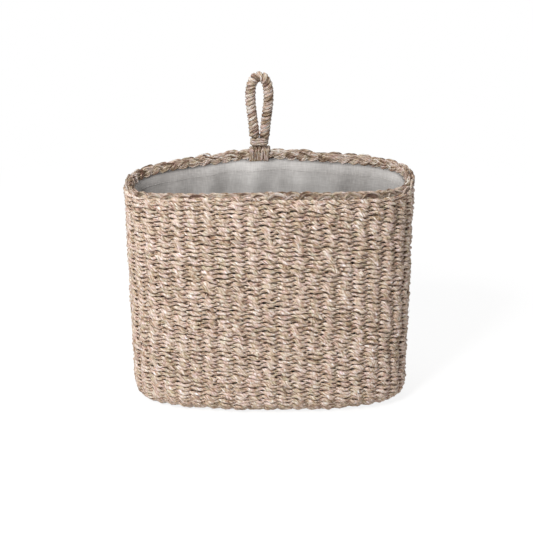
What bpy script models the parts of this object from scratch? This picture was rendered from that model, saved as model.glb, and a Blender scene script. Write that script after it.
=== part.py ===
"""Wall basket: seagrass twined over bent stakes, with a linen liner and a wrapped hanging loop.

Metres, +Z up. The origin is the centre of the base's underside, X runs along the basket
and +Y points to the wall that it hangs on.
"""

import math

import bmesh
import bpy
import numpy as np
from mathutils import Vector

# Outside of the basket: a rounded oblong that narrows a little towards its base
RIM_LENGTH = 0.300
RIM_DEPTH = 0.124
BASE_LENGTH = 0.2936
BASE_DEPTH = 0.1194
END_HEIGHT = 0.2505
FOOT_RADIUS = 0.022
OUTLINE_POWER = 2.8

# The hand-made rim: crowned at mid length, less so behind, higher at its right end, more so
# behind, drawn up at the loop, and standing a little to the left of the base
RIM_CROWN = 0.0055
RIM_DIP = 0.0016
RIM_TILT = 0.0030
RIM_TWIST = 0.0015
RIM_LEAN = 0.0014
RIM_PULL = 0.0062
RIM_PULL_REACH = 0.050

# Stakes, each one length bent up at both ends
CROSS_STAKES = 15
LONG_STAKES = 8
STAKE_WIDTH = 0.0036
STAKE_THICKNESS = 0.0024

# Twined strands in front of the stakes and behind them
OUTER_WEAVE = 0.0025
INNER_WEAVE = 0.0020
WEAVE_FLUTE = 0.0008

# Air left between pieces that bear on each other
SEAT_GAP = 0.0003

# Border: the stake ends folded over into arches, with a braided band inside
BORDER_HEIGHT = 0.0110
FOLD_THICKNESS = 0.0052
BRAID_THICKNESS = 0.0035
BRAID_DROP = 0.0010
ARCH_DROP = 0.0016

# Linen liner with a hem folded at its top edge
LINEN = 0.0008
HEM_THICKNESS = 0.0016
HEM_HEIGHT = 0.0120

# Hanging loop: a core bent into an eye and wrapped with flat twine
LOOP_OFFSET = -0.0100
LOOP_HALF_WIDTH = 0.0096
LOOP_LEG_HEIGHT = 0.0415
LOOP_CROWN_HEIGHT = 0.0230
LOOP_CROWN_POWER = 2.4
CORE_RADIUS = 0.0028
WRAP_CLEARANCE = 0.0004
WRAP_THICKNESS = 0.0020
WRAP_WIDTH = 0.0043
WRAP_TURNS = 33
WRAP_SLANT = 0.0012
WRAP_GAP = 0.0009
LEG_GAP = 0.0006

# Binding that draws the two legs together, and the rounded foot under it
BINDING_WIDTH = 0.0017
BINDING_THICKNESS = 0.0015
BINDING_PITCH = 0.0022
BINDING_TURNS = 3
BOUND_LEG_OFFSET = 0.0049
FOOT_DROP = 0.0030
FOOT_END_MARGIN = 0.0006
FOOT_OVERLAP = 0.0008

# Lashing that winds the foot of the loop down to the border
LASH_WIDTH = 0.0025
LASH_THICKNESS = 0.0018
LASH_PITCH = 0.0031
LASH_TURNS = 7
PASSAGE_MARGIN = 0.0006
PASSAGE_EDGE = 0.0005

# Point counts
OUTLINE_SAMPLES = 7200
CORNER_STEPS = 3
CORE_POINTS = 36
CORE_SIDES = 8
WRAP_POINTS = 9
FOOT_ARC_POINTS = 8

# Faces of a flat strand: its half width and half thickness shares
STRAND_SHARES = ((1.0, 0.0), (0.6, 1.0), (-0.6, 1.0), (-1.0, 0.0), (-0.6, -1.0), (0.6, -1.0))

# Border sections: shares of the band's thickness and height, and of the arches' drop; between
# two strands the braid is thinner
BRAID_WAIST_SHARE = 0.82
FOLD_SHARES = (
    (0.25, 0.00, 1.0),
    (0.75, 0.00, 1.0),
    (1.00, 0.12, 0.6),
    (1.00, 1.00, 0.0),
    (0.12, 1.00, 0.0),
    (0.06, 0.60, 0.0),
    (0.16, 0.47, 0.0),
    (0.00, 0.36, 0.3),
    (0.00, 0.14, 0.8),
)
BRAID_SHARES = (
    (0.15, 0.00),
    (0.70, 0.00),
    (1.00, 0.16),
    (1.00, 0.38),
    (0.75, 0.50),
    (1.00, 0.64),
    (1.00, 0.86),
    (0.75, 1.00),
    (0.00, 1.00),
    (0.00, 0.10),
)

# Depths from the outer face to the middle of each layer
STAKE_DEPTH = OUTER_WEAVE + SEAT_GAP + STAKE_THICKNESS / 2
INNER_WEAVE_DEPTH = OUTER_WEAVE + STAKE_THICKNESS + 2 * SEAT_GAP
LINER_DEPTH = INNER_WEAVE_DEPTH + INNER_WEAVE + SEAT_GAP
BRAID_DEPTH = FOLD_THICKNESS + SEAT_GAP
BORDER_DEPTH = BRAID_DEPTH + BRAID_THICKNESS

# Heights of the layers in the base: long stakes below, cross stakes above
LONG_TIER = OUTER_WEAVE + SEAT_GAP + STAKE_THICKNESS / 2
CROSS_TIER = LONG_TIER + STAKE_THICKNESS + SEAT_GAP
UPPER_WEAVE_BASE = CROSS_TIER + STAKE_THICKNESS / 2 + SEAT_GAP
LINER_BASE = UPPER_WEAVE_BASE + INNER_WEAVE + SEAT_GAP

STAKE_ENDS = 2 * (CROSS_STAKES + LONG_STAKES)
LASH_OFFSET = SEAT_GAP + LASH_THICKNESS / 2
PASSAGE_HEIGHT = LASH_THICKNESS + SEAT_GAP
PASSAGE_LENGTH = LASH_TURNS * LASH_PITCH + LASH_WIDTH + 2 * PASSAGE_MARGIN

# Radii about the loop's centre line
WRAP_RADIUS = CORE_RADIUS + WRAP_CLEARANCE + WRAP_THICKNESS / 2
WRAP_OUTER = WRAP_RADIUS + WRAP_THICKNESS / 2
LOOP_FOOT_HALF = WRAP_OUTER + LEG_GAP / 2
BINDING_HEIGHT = BINDING_TURNS * BINDING_PITCH + BINDING_WIDTH
BINDING_RADIUS = CORE_RADIUS + WRAP_CLEARANCE + BINDING_THICKNESS / 2
FOOT_SWING_RADIUS = math.hypot(BINDING_RADIUS + BINDING_THICKNESS / 2, FOOT_DROP)


def clear_scene():
    for item in list(bpy.data.objects):
        bpy.data.objects.remove(item, do_unlink=True)


def material(name, colour, roughness):
    made = bpy.data.materials.new(name)
    made.use_nodes = True
    surface = made.node_tree.nodes["Principled BSDF"]
    surface.inputs["Base Color"].default_value = (*colour, 1.0)
    surface.inputs["Roughness"].default_value = roughness
    surface.inputs["Metallic"].default_value = 0.0
    made.diffuse_color = (*colour, 1.0)
    return made


def materials():
    return {
        "straw": material("seagrass_straw", (0.45, 0.34, 0.26), 0.72),
        "shaded": material("seagrass_shaded", (0.33, 0.24, 0.17), 0.76),
        "stake": material("seagrass_stake", (0.28, 0.20, 0.13), 0.80),
        "twine": material("seagrass_twine", (0.47, 0.36, 0.28), 0.70),
        "core": material("cord_core", (0.36, 0.27, 0.19), 0.80),
        "linen": material("linen", (0.41, 0.40, 0.39), 0.92),
    }


def empty(name, middle):
    made = bpy.data.objects.new(name, None)
    made.location = middle
    bpy.context.scene.collection.objects.link(made)
    return made


def mesh_object(name, points, faces, finish, parent):
    """One closed mesh from world points, held relative to its parent's place."""
    origin = np.array(parent.location)
    data = bpy.data.meshes.new(name)
    data.from_pydata([tuple(np.array(p) - origin) for p in points], [], faces)
    shape = bmesh.new()
    shape.from_mesh(data)
    bmesh.ops.recalc_face_normals(shape, faces=shape.faces)
    shape.to_mesh(data)
    shape.free()
    data.materials.append(finish)
    made = bpy.data.objects.new(name, data)
    made.parent = parent
    bpy.context.scene.collection.objects.link(made)
    data.shade_smooth()
    data.set_sharp_from_angle(angle=math.radians(35))
    return made


# Plan outline

def rim_outline():
    """Points round the rim outline from mid front towards +X, and the share of the way round at each."""
    angles = np.linspace(-math.pi / 2, 1.5 * math.pi, OUTLINE_SAMPLES + 1)
    along = np.abs(np.cos(angles) / (RIM_LENGTH / 2)) ** OUTLINE_POWER
    across = np.abs(np.sin(angles) / (RIM_DEPTH / 2)) ** OUTLINE_POWER
    reach = (along + across) ** (-1 / OUTLINE_POWER)
    x = reach * np.cos(angles)
    y = reach * np.sin(angles)
    run = np.concatenate([[0], np.cumsum(np.hypot(np.diff(x), np.diff(y)))])
    return x, y, run / run[-1]


OUTLINE_X, OUTLINE_Y, OUTLINE_SHARE = rim_outline()


def outline_normal(share, height, inset=0.0):
    """Plan point drawn in by inset, and the outward direction there."""
    x_rim = float(np.interp(share % 1.0, OUTLINE_SHARE, OUTLINE_X))
    y_rim = float(np.interp(share % 1.0, OUTLINE_SHARE, OUTLINE_Y))
    up = height / END_HEIGHT
    half_length = (BASE_LENGTH + (RIM_LENGTH - BASE_LENGTH) * up) / 2
    half_depth = (BASE_DEPTH + (RIM_DEPTH - BASE_DEPTH) * up) / 2
    x = x_rim * half_length / (RIM_LENGTH / 2)
    y = y_rim * half_depth / (RIM_DEPTH / 2)
    slope_x = math.copysign(abs(x / half_length) ** (OUTLINE_POWER - 1) / half_length, x)
    slope_y = math.copysign(abs(y / half_depth) ** (OUTLINE_POWER - 1) / half_depth, y)
    outward = Vector((slope_x, slope_y, 0.0)).normalized()
    return Vector((x - RIM_LEAN * up, y, height)) - outward * inset, outward


def place(share, inset, height):
    return outline_normal(share, height, inset)[0]


def share_at_back(x):
    """Share of the way round at which the back of the rim outline passes x."""
    behind = (OUTLINE_SHARE > 0.25) & (OUTLINE_SHARE < 0.75)
    return float(np.interp(-x, -OUTLINE_X[behind], OUTLINE_SHARE[behind]))


def on_rim(share):
    """Distances along and across from the middle of the rim."""
    x = float(np.interp(share % 1.0, OUTLINE_SHARE, OUTLINE_X))
    y = float(np.interp(share % 1.0, OUTLINE_SHARE, OUTLINE_Y))
    return x, y


def rim_height(share):
    x, y = on_rim(share)
    along = x / (RIM_LENGTH / 2)
    across = y / (RIM_DEPTH / 2)
    crown = RIM_CROWN - RIM_DIP * across
    height = END_HEIGHT + crown * (1 - along**2) + (RIM_TILT + RIM_TWIST * across) * along
    if y > 0:
        height += RIM_PULL * math.exp(-(((x - LOOP_OFFSET) / RIM_PULL_REACH) ** 2))
    return height


def under_lashing(share):
    x, y = on_rim(share)
    return y > 0 and abs(x - LOOP_OFFSET) < PASSAGE_LENGTH / 2


def wall_top(share):
    """Top of the woven wall: under the border, and lower where the lashing passes through."""
    top = rim_height(share) - BORDER_HEIGHT - SEAT_GAP
    return top - PASSAGE_HEIGHT if under_lashing(share) else top


def flute(share):
    """0 on a stake, 1 midway between two stakes."""
    beside = (share * STAKE_ENDS) % 1.0
    return 1 - abs(2 * beside - 1)


def column_shares(per_stake):
    """Evenly spaced columns, with a pair at each end of the passage under the lashing."""
    count = STAKE_ENDS * per_stake
    found = [index / count for index in range(count)]
    for side in (-1, 1):
        for edge in (PASSAGE_LENGTH / 2 + PASSAGE_EDGE, PASSAGE_LENGTH / 2 - PASSAGE_EDGE):
            found.append(share_at_back(LOOP_OFFSET + side * edge))
    return sorted(found)


# Layers of the basket

def foot_corner(depth, base, steps):
    """Inset, height and turn of a layer from the wall, round the foot corner, to the base."""
    found = []
    for step in range(steps + 1):
        turn = step / steps * math.pi / 2
        inset = FOOT_RADIUS - (FOOT_RADIUS - depth) * math.cos(turn)
        height = FOOT_RADIUS - (FOOT_RADIUS - base) * math.sin(turn)
        found.append((inset, height, turn))
    return found


def ring(name, shares, sections, finish, parent):
    """A closed band: one section of inset and height at each share of the way round."""
    points = []
    for share, section in zip(shares, sections):
        points += [place(share, inset, height) for inset, height in section]
    sides = len(sections[0])
    faces = []
    for column in range(len(shares)):
        here = column * sides
        there = (column + 1) % len(shares) * sides
        for side in range(sides):
            beyond = (side + 1) % sides
            faces.append((here + side, here + beyond, there + beyond, there + side))
    return mesh_object(name, points, faces, finish, parent)


def slab(name, inset, low, high, finish, parent):
    """A flat sheet over the base, inside the foot corner."""
    shares = [index / STAKE_ENDS for index in range(STAKE_ENDS)]
    points = [place(share, inset, low) for share in shares]
    points += [point + Vector((0.0, 0.0, high - low)) for point in points]
    faces = [tuple(range(STAKE_ENDS))[::-1], tuple(range(STAKE_ENDS, 2 * STAKE_ENDS))]
    for index in range(STAKE_ENDS):
        beyond = (index + 1) % STAKE_ENDS
        faces.append((index, beyond, STAKE_ENDS + beyond, STAKE_ENDS + index))
    return mesh_object(name, points, faces, finish, parent)


def wall_weave_outer(finish, parent):
    """Strands in front of the stakes, swelling over each stake and sinking between two."""
    shares = column_shares(2)
    sections = []
    for share in shares:
        sink = WEAVE_FLUTE * flute(share)
        outer = [(sink, wall_top(share))]
        for inset, height, turn in foot_corner(0.0, 0.0, CORNER_STEPS):
            outer.append((inset + sink * math.cos(turn), height))
        inner = [(OUTER_WEAVE, wall_top(share))]
        inner += [point[:2] for point in foot_corner(OUTER_WEAVE, OUTER_WEAVE, CORNER_STEPS)]
        sections.append(outer + inner[::-1])
    return ring("wall_weave_outer", shares, sections, finish, parent)


def wall_weave_inner(finish, parent):
    """Strands behind the stakes."""
    shares = column_shares(1)
    near = INNER_WEAVE_DEPTH
    far = INNER_WEAVE_DEPTH + INNER_WEAVE
    sections = []
    for share in shares:
        outer = [(near, wall_top(share))]
        outer += [point[:2] for point in foot_corner(near, UPPER_WEAVE_BASE, CORNER_STEPS)]
        inner = [(far, wall_top(share))]
        inner += [point[:2] for point in foot_corner(far, UPPER_WEAVE_BASE + INNER_WEAVE, CORNER_STEPS)]
        sections.append(outer + inner[::-1])
    return ring("wall_weave_inner", shares, sections, finish, parent)


def liner_side(finish, parent):
    """Linen hung inside the wall, doubled into a hem along its top edge."""
    shares = column_shares(1)
    near = LINER_DEPTH
    far = LINER_DEPTH + LINEN
    sections = []
    for share in shares:
        top = wall_top(share)
        hem = top - HEM_HEIGHT
        outer = [(near, top)]
        outer += [point[:2] for point in foot_corner(near, LINER_BASE, CORNER_STEPS)]
        inner = [(near + HEM_THICKNESS, top), (near + HEM_THICKNESS, hem), (far, hem - LINEN)]
        inner += [point[:2] for point in foot_corner(far, LINER_BASE + LINEN, CORNER_STEPS)]
        sections.append(outer + inner[::-1])
    return ring("liner_side", shares, sections, finish, parent)


def border_fold_row(finish, parent):
    """Stake ends bent over and tucked down, an arch from each stake to the next."""
    count = STAKE_ENDS * 3
    shares = [index / count for index in range(count)]
    sections = []
    for share in shares:
        top = rim_height(share)
        dip = ARCH_DROP if round(share * count) % 3 == 0 else 0.0
        section = []
        for depth_share, height_share, dip_share in FOLD_SHARES:
            height = top - BORDER_HEIGHT * height_share - dip * dip_share
            section.append((FOLD_THICKNESS * depth_share, height))
        sections.append(section)
    return ring("border_fold_row", shares, sections, finish, parent)


def border_braid(finish, parent):
    """Two-row braided band along the inside of the border, its rows swelling at each strand."""
    count = STAKE_ENDS * 2
    shares = [index / count for index in range(count)]
    tall = BORDER_HEIGHT - BRAID_DROP
    sections = []
    for share in shares:
        top = rim_height(share) - BRAID_DROP
        swell = 1.0 if round(share * count) % 2 else BRAID_WAIST_SHARE
        section = []
        for depth_share, height_share in BRAID_SHARES:
            inset = BRAID_DEPTH + BRAID_THICKNESS * depth_share * swell
            section.append((inset, top - tall * height_share))
        sections.append(section)
    return ring("border_braid", shares, sections, finish, parent)


# Strands

def strand_sections(centres, outs, widths, thickness):
    """Six-sided flat sections square to the run of the centres, facing along outs."""
    points = []
    for index, centre in enumerate(centres):
        before = centres[max(index - 1, 0)]
        after = centres[min(index + 1, len(centres) - 1)]
        along = (after - before).normalized()
        across = along.cross(outs[index]).normalized()
        out = across.cross(along).normalized()
        for across_share, out_share in STRAND_SHARES:
            wide = across * (widths[index] / 2 * across_share)
            points.append(centre + wide + out * (thickness / 2 * out_share))
    return points


def tube_faces(count, sides):
    """Quads between successive sections, and a cap at each end."""
    faces = [tuple(range(sides))[::-1], tuple(range((count - 1) * sides, count * sides))]
    for index in range(count - 1):
        for side in range(sides):
            beyond = (side + 1) % sides
            here = index * sides
            there = here + sides
            faces.append((here + side, here + beyond, there + beyond, there + side))
    return faces


def strand(name, centres, outs, widths, thickness, finish, parent):
    points = strand_sections(centres, outs, widths, thickness)
    faces = tube_faces(len(centres), len(STRAND_SHARES))
    return mesh_object(name, points, faces, finish, parent)


def print_least_gap(name, centres, outs, widths, thickness, per_turn):
    """Least distance between the points of a winding that lie half a turn or more apart along it."""
    sides = len(STRAND_SHARES)
    points = np.array(strand_sections(centres, outs, widths, thickness))
    order = np.arange(len(points)) // sides
    least = math.inf
    for index in range(len(centres)):
        here = points[index * sides : (index + 1) * sides]
        others = points[order > index + per_turn // 2]
        if len(others):
            apart = np.linalg.norm(here[:, None] - others[None], axis=2)
            least = min(least, float(apart.min()))
    print(f"{name}: least gap to itself {least * 1000:.2f} mm")


def with_straight_ends(centres, run):
    """The centres with a level straight run added before the first and after the last."""
    found = []
    for end, inner in ((centres[0], centres[1]), (centres[-1], centres[-2])):
        along = end - inner
        along.z = 0.0
        found.append(end + along.normalized() * run)
    return [found[0], *centres, found[1]]


def stake(name, start, end, tier, finish, parent):
    """One stake: down the wall at one share, across the base, and up the wall at the other."""
    centres = []
    outs = []
    down = Vector((0.0, 0.0, -1.0))
    for share in (start, end):
        run = [(STAKE_DEPTH, wall_top(share), 0.0)] + foot_corner(STAKE_DEPTH, tier, CORNER_STEPS)
        side = []
        for inset, height, turn in run:
            point, outward = outline_normal(share, height, inset)
            side.append((point, outward * math.cos(turn) + down * math.sin(turn)))
        if share == end:
            side.reverse()
        centres += [point for point, out in side]
        outs += [out for point, out in side]
    widths = [STAKE_WIDTH] * len(centres)
    return strand(name, centres, outs, widths, STAKE_THICKNESS, finish, parent)


def stakes(finish, parent):
    half = CROSS_STAKES // 2
    for index in range(CROSS_STAKES):
        front = (index - half) / STAKE_ENDS
        stake(f"stake_cross_{index + 1:02d}", front, 0.5 - front, CROSS_TIER, finish, parent)
    for index in range(LONG_STAKES):
        right = 0.25 + (index - (LONG_STAKES - 1) / 2) / STAKE_ENDS
        stake(f"stake_long_{index + 1:02d}", right, 1.0 - right, LONG_TIER, finish, parent)


# Hanging loop

def loop_pivot_place():
    """Middle of the border's thickness, high enough for the foot to turn over the lashing."""
    share = share_at_back(LOOP_OFFSET)
    lashing_top = rim_height(share) + SEAT_GAP + LASH_THICKNESS
    height = lashing_top + SEAT_GAP + FOOT_SWING_RADIUS
    return place(share, BORDER_DEPTH / 2, height)


def loop_centre_line(count):
    """Points from the left foot of the eye over its crown to the right foot, and outward directions."""
    steps = OUTLINE_SAMPLES // 20
    half = []
    for step in range(steps + 1):
        rise = step / steps
        spread = (rise + 0.5 - 0.5 * math.cos(math.pi * rise)) / 2
        half.append((LOOP_FOOT_HALF + (LOOP_HALF_WIDTH - LOOP_FOOT_HALF) * spread, LOOP_LEG_HEIGHT * rise))
    for step in range(1, steps + 1):
        angle = step / steps * math.pi / 2
        reach = math.cos(angle) ** LOOP_CROWN_POWER + math.sin(angle) ** LOOP_CROWN_POWER
        reach **= -1 / LOOP_CROWN_POWER
        rise = LOOP_CROWN_HEIGHT * reach * math.sin(angle)
        half.append((LOOP_HALF_WIDTH * reach * math.cos(angle), LOOP_LEG_HEIGHT + rise))
    line = np.array([(-x, z) for x, z in half] + half[-2::-1])
    run = np.concatenate([[0], np.cumsum(np.hypot(*np.diff(line, axis=0).T))])
    wanted = np.linspace(0, run[-1], count)
    x = np.interp(wanted, run, line[:, 0])
    z = np.interp(wanted, run, line[:, 1])
    slope_x = np.gradient(x)
    slope_z = np.gradient(z)
    points = [Vector((float(a), 0.0, float(b))) for a, b in zip(x, z)]
    outs = [Vector((-float(b), 0.0, float(a))).normalized() for a, b in zip(slope_x, slope_z)]
    return points, outs


def eye_foot(pivot):
    """Place of the eye's foot: just above the binding."""
    return pivot + Vector((0.0, 0.0, BINDING_HEIGHT - FOOT_DROP + SEAT_GAP + WRAP_WIDTH / 2))


def foot_block(pivot, finish, parent):
    """Rounded foot whose underside turns about the pivot: the strands splayed under the binding."""
    level = FOOT_DROP + SEAT_GAP
    half_turn = math.acos(level / FOOT_SWING_RADIUS)
    profile = []
    for step in range(FOOT_ARC_POINTS + 1):
        turn = half_turn * (2 * step / FOOT_ARC_POINTS - 1)
        profile.append((FOOT_SWING_RADIUS * math.sin(turn), -FOOT_SWING_RADIUS * math.cos(turn)))
    half = BOUND_LEG_OFFSET + CORE_RADIUS + FOOT_END_MARGIN
    points = []
    for x in (-half, half):
        points += [pivot + Vector((x, y, z)) for y, z in profile]
    block = mesh_object("foot_block", points, tube_faces(2, len(profile)), finish, parent)
    block.hide_render = True
    block.display_type = "WIRE"
    return block


def loop_core(pivot, finish, parent):
    """Core of the loop: both legs drawn together in the binding and joined at the foot."""
    line, outs = loop_centre_line(CORE_POINTS)
    foot = eye_foot(pivot)
    bound_top = pivot.z - FOOT_DROP + BINDING_HEIGHT
    leg_end = pivot.z - FOOT_DROP - SEAT_GAP - FOOT_OVERLAP
    centres = [foot + point for point in line]
    start = []
    for height in (leg_end, bound_top):
        start.append(Vector((pivot.x - BOUND_LEG_OFFSET, pivot.y, height)))
    finish_run = [Vector((2 * pivot.x - point.x, point.y, point.z)) for point in reversed(start)]
    centres = start + centres + finish_run
    outs = [outs[0]] * len(start) + outs + [outs[-1]] * len(start)
    points = []
    for index, centre in enumerate(centres):
        before = centres[max(index - 1, 0)]
        after = centres[min(index + 1, len(centres) - 1)]
        along = (after - before).normalized()
        side = Vector((0.0, 1.0, 0.0))
        out = along.cross(side).normalized()
        for step in range(CORE_SIDES):
            angle = (step + 0.5) / CORE_SIDES * 2 * math.pi
            points.append(centre + (out * math.cos(angle) + side * math.sin(angle)) * CORE_RADIUS)
    core = mesh_object("loop_core", points, tube_faces(len(centres), CORE_SIDES), finish, parent)
    union = core.modifiers.new("foot", "BOOLEAN")
    union.operation = "UNION"
    union.solver = "EXACT"
    union.object = foot_block(pivot, finish, parent)
    return core


def loop_wrap(pivot, finish, parent):
    """Flat twine wound right-handed and slanting over the core, its turns crowding in the crown."""
    count = WRAP_TURNS * WRAP_POINTS + 1
    line, outs = loop_centre_line(count)
    foot = eye_foot(pivot)
    side = Vector((0.0, 1.0, 0.0))
    slant = WRAP_SLANT / (line[1] - line[0]).length
    centres = []
    facing = []
    for index in range(count):
        angle = index / WRAP_POINTS * 2 * math.pi + math.pi / 2
        along = index - slant * math.cos(angle)
        before = min(int(along), count - 2)
        middle = line[before].lerp(line[before + 1], along - before)
        away = outs[before].lerp(outs[before + 1], along - before).normalized()
        out = away * math.cos(angle) - side * math.sin(angle)
        centres.append(foot + middle + out * WRAP_RADIUS)
        facing.append(out)
    widths = []
    for index in range(count):
        nearest = math.inf
        for other in (index - WRAP_POINTS, index + WRAP_POINTS):
            if 0 <= other < count:
                nearest = min(nearest, (centres[index] - centres[other]).length)
        widths.append(min(WRAP_WIDTH, nearest - WRAP_GAP))
    centres = with_straight_ends(centres, WRAP_THICKNESS)
    facing = [facing[0], *facing, facing[-1]]
    widths = [widths[0], *widths, widths[-1]]
    print_least_gap("loop_wrap", centres, facing, widths, WRAP_THICKNESS, WRAP_POINTS)
    return strand("loop_wrap", centres, facing, widths, WRAP_THICKNESS, finish, parent)


def binding_round():
    """One turn of the binding in plan: offsets and outward directions round both legs."""
    offsets = []
    outs = []
    for side in (1, -1):
        for step in range(5):
            angle = (step / 4 - 0.5) * math.pi
            out = Vector((side * math.cos(angle), side * math.sin(angle), 0.0))
            offsets.append(Vector((side * BOUND_LEG_OFFSET, 0.0, 0.0)) + out * BINDING_RADIUS)
            outs.append(out)
    return offsets, outs


def loop_binding(pivot, finish, parent):
    """Three tight turns round both legs, right above the foot."""
    offsets, outs = binding_round()
    per_turn = len(offsets)
    low = BINDING_WIDTH / 2 - FOOT_DROP
    centres = []
    facing = []
    for index in range(BINDING_TURNS * per_turn):
        height = Vector((0.0, 0.0, low + BINDING_PITCH * index / per_turn))
        centres.append(pivot + offsets[index % per_turn] + height)
        facing.append(outs[index % per_turn])
    widths = [BINDING_WIDTH] * len(centres)
    print_least_gap("loop_binding", centres, facing, widths, BINDING_THICKNESS, per_turn)
    return strand("loop_binding", centres, facing, widths, BINDING_THICKNESS, finish, parent)


def lashing_round():
    """One turn of the lashing round the border: inset, drop below the rim and turn of its face."""
    corners = (
        (BORDER_DEPTH, BORDER_HEIGHT, 0.0),
        (BORDER_DEPTH, 0.0, 90.0),
        (0.0, 0.0, 180.0),
        (0.0, BORDER_HEIGHT, 270.0),
    )
    found = [(BORDER_DEPTH / 2, BORDER_HEIGHT + LASH_OFFSET, -90.0)]
    for inset, drop, turned in corners:
        for step in (-90.0, -45.0, 0.0):
            angle = math.radians(turned + step)
            found.append((
                inset + LASH_OFFSET * math.cos(angle),
                drop - LASH_OFFSET * math.sin(angle),
                turned + step,
            ))
    return found


def rim_lashing(finish, parent):
    """Seven turns side by side over the border, through the passage in the wall below it."""
    one_round = lashing_round()
    per_turn = len(one_round)
    centres = []
    facing = []
    first = LOOP_OFFSET - LASH_TURNS * LASH_PITCH / 2
    for index in range(LASH_TURNS * per_turn + 1):
        inset, drop, turned = one_round[index % per_turn]
        share = share_at_back(first + LASH_PITCH * index / per_turn)
        angle = math.radians(turned)
        point, outward = outline_normal(share, rim_height(share) - drop, inset)
        centres.append(point)
        facing.append(Vector((0.0, 0.0, math.sin(angle))) - outward * math.cos(angle))
    widths = [LASH_WIDTH] * len(centres)
    print_least_gap("rim_lashing", centres, facing, widths, LASH_THICKNESS, per_turn)
    return strand("rim_lashing", centres, facing, widths, LASH_THICKNESS, finish, parent)


def build():
    clear_scene()
    finish = materials()
    basket = empty("basket_origin", Vector((0.0, 0.0, 0.0)))
    stakes(finish["stake"], basket)
    slab("base_weave_under", FOOT_RADIUS + SEAT_GAP, 0.0, OUTER_WEAVE, finish["straw"], basket)
    upper_top = UPPER_WEAVE_BASE + INNER_WEAVE
    slab("base_weave_upper", FOOT_RADIUS + SEAT_GAP, UPPER_WEAVE_BASE, upper_top, finish["shaded"], basket)
    wall_weave_outer(finish["straw"], basket)
    wall_weave_inner(finish["shaded"], basket)
    border_fold_row(finish["straw"], basket)
    border_braid(finish["shaded"], basket)
    liner_side(finish["linen"], basket)
    slab("liner_bottom", FOOT_RADIUS + SEAT_GAP, LINER_BASE, LINER_BASE + LINEN, finish["linen"], basket)
    rim_lashing(finish["twine"], basket)
    pivot = loop_pivot_place()
    loop = empty("loop_pivot", pivot)
    loop_core(pivot, finish["core"], loop)
    loop_wrap(pivot, finish["twine"], loop)
    loop_binding(pivot, finish["twine"], loop)
    places = ", ".join(f"{1000 * value:.2f}" for value in pivot)
    print(f"loop pivot at {places} mm")


build()
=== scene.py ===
import math

import bpy
import numpy as np
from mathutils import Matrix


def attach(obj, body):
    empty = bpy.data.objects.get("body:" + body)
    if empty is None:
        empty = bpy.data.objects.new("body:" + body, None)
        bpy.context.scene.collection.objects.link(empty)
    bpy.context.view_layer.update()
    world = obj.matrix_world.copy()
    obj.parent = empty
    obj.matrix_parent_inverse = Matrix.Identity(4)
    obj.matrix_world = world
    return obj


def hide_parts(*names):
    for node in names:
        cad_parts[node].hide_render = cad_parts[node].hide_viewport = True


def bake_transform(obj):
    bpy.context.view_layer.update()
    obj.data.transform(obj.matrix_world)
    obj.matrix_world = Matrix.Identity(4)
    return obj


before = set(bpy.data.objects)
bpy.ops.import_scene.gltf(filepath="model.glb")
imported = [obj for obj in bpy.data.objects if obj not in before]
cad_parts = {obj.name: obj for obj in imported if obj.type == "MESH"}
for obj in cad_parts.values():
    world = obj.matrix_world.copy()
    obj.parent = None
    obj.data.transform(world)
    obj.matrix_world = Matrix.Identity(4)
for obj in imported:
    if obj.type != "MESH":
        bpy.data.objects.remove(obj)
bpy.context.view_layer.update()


# Stakes: 23 rods of rolled seagrass, 15 laid across the base and 8 along it in two tiers.
# Both ends of each are bent up at the foot, so 46 uprights stand round the wall.

RIM_LENGTH = 0.300
RIM_DEPTH = 0.124
BASE_LENGTH = 0.2936
BASE_DEPTH = 0.1194
END_HEIGHT = 0.2505
FOOT_RADIUS = 0.022
OUTLINE_POWER = 2.8
OUTLINE_POINTS = 7201
RIM_CROWN = 0.0055
RIM_DIP = 0.0016
RIM_TILT = 0.0030
RIM_TWIST = 0.0015
RIM_LEAN = 0.0014
RIM_PULL = 0.0062
RIM_PULL_REACH = 0.050
LOOP_OFFSET = -0.0100
BORDER_HEIGHT = 0.0110
CROSS_STAKES = 15
LONG_STAKES = 8
STAKE_ENDS = 2 * (CROSS_STAKES + LONG_STAKES)
STAKE_DEPTH = 0.0040
STAKE_HALF_WIDTH = 0.0018
STAKE_HALF_THICKNESS = 0.0012
CROSS_TIER = 0.0067
LONG_TIER = 0.0040
UPRIGHT_RINGS = 14
FOOT_RINGS = 8
LEVEL_RINGS = 12
FOOT_ARC = FOOT_RADIUS * math.pi / 2
UP = np.array([0.0, 0.0, 1.0])


def rim_outline():
    """Points round the rim from mid front towards +X, the share of the way at each, and its length."""
    angles = np.linspace(-math.pi / 2, 1.5 * math.pi, OUTLINE_POINTS)
    along = np.abs(np.cos(angles) / (RIM_LENGTH / 2)) ** OUTLINE_POWER
    across = np.abs(np.sin(angles) / (RIM_DEPTH / 2)) ** OUTLINE_POWER
    reach = (along + across) ** (-1 / OUTLINE_POWER)
    x = reach * np.cos(angles)
    y = reach * np.sin(angles)
    run = np.concatenate([[0], np.cumsum(np.hypot(np.diff(x), np.diff(y)))])
    return x, y, run / run[-1], run[-1]


outline_x, outline_y, outline_share, rim_run = rim_outline()


def unit(vectors):
    """The directions of vectors, each of length 1."""
    return vectors / np.linalg.norm(vectors, axis=-1, keepdims=True)


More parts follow.
